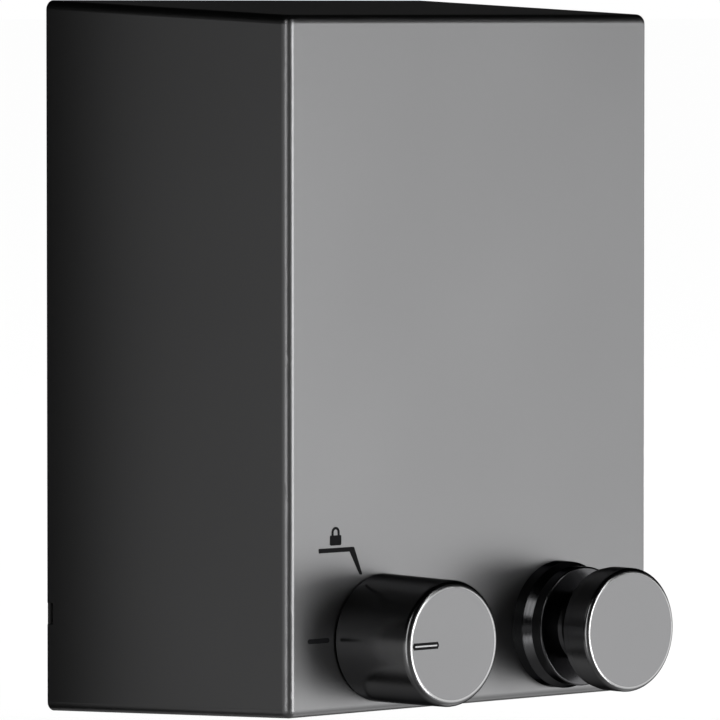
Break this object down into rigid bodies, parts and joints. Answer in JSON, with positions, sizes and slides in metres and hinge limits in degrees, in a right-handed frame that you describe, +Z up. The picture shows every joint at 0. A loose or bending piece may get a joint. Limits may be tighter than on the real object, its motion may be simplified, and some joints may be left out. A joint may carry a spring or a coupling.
{
  "type": "retractable clothesline",
  "caption": "Wall-mounted retractable clothesline: drafted metal case with a spring drum of line, a pull knob on a collar and a lock knob that stops the drum.",
  "frame": {"origin": "middle of the four wall screw holes, on the wall plane, which is the wall plate's back face", "axes": "+Z up along the wall, +Y into the wall, +X to the right for someone who faces the object"},
  "size_m": [0.0768, 0.0662, 0.105],
  "materials": {
    "case_coat": "satin gunmetal coat with fine metallic grain",
    "knob_metal": "satin gunmetal anodised, turned, bright edges",
    "collar_black": "black anodised, turned, bright edges",
    "plate_steel": "zinc-plated sheet steel",
    "chassis_plastic": "black moulded plastic, fine texture",
    "screw_steel": "plated fastener steel",
    "axle_steel": "turned steel",
    "spool_plastic": "natural moulded acetal",
    "bush_brass": "sintered bearing bronze",
    "spring_steel": "blued spring strip",
    "seal_rubber": "matt black rubber",
    "line_cord": "braided polyester line"
  },
  "bodies": {
    "case": {"wall_plate": "plate_steel", "case_shell": "case_coat", "rim_gasket": "seal_rubber", "chassis": "chassis_plastic", "chassis_screws": "screw_steel", "base_screw": "screw_steel", "drum_axle": "axle_steel", "axle_screw": "screw_steel", "axle_washers": "screw_steel", "axle_clip": "screw_steel", "guide_pin": "screw_steel", "guide_pin_clip": "screw_steel", "outlet_collar": "collar_black", "collar_nut": "screw_steel", "lock_bush": "bush_brass", "shaft_seal": "seal_rubber", "line_lead": "line_cord"},
    "drum": {"drum_spool": "spool_plastic", "drum_bush_front": "bush_brass", "drum_bush_rear": "bush_brass", "power_spring": "spring_steel", "spring_cover": "spool_plastic", "line_winding": "line_cord"},
    "roller": {"guide_roller": "spool_plastic"},
    "lock": {"lock_knob": "knob_metal", "knob_set_screw": "screw_steel", "lock_shaft": "axle_steel", "shaft_clip": "screw_steel", "crank_disc": "axle_steel", "crank_pin": "axle_steel"},
    "bar": {"lock_bar": "axle_steel"},
    "pull": {"pull_stem": "collar_black", "pull_head": "knob_metal", "line_ferrule": "screw_steel", "line_end": "line_cord"}
  },
  "joints": [
    {"name": "pull_slide", "type": "slide", "parent": "case", "child": "pull", "axis": [0, -1, 0], "range_m": [0, 4.2], "stiffness_N_per_m": 1, "springref_m": -6, "deforming": ["power_spring", "line_winding", "line_lead", "line_end"]},
    {"name": "drum_spin", "type": "hinge", "parent": "case", "child": "drum", "pos_m": [-0.0057, -0.03, 0.0185], "axis": [0, 1, 0], "range_deg": [0, 11520]},
    {"name": "roller_spin", "type": "hinge", "parent": "case", "child": "roller", "pos_m": [0.0178, -0.0346, -0.03365], "axis": [-1, 0, 0], "range_deg": [0, 40107.1]},
    {"name": "lock_turn", "type": "hinge", "parent": "case", "child": "lock", "pos_m": [-0.0178, -0.058, -0.03965], "axis": [0, 1, 0], "range_deg": [0, 65]},
    {"name": "bar_slide", "type": "slide", "parent": "case", "child": "bar", "axis": [0, 0, 1], "range_m": [0, 0.00483]}
  ],
  "couplings": [
    {"joint": "drum_spin", "follows": "pull_slide", "rad_per_m": 47.872},
    {"joint": "roller_spin", "follows": "pull_slide", "rad_per_m": 166.67},
    {"joint": "lock_turn", "follows": "bar_slide", "rad_per_m": 234.6}
  ]
}
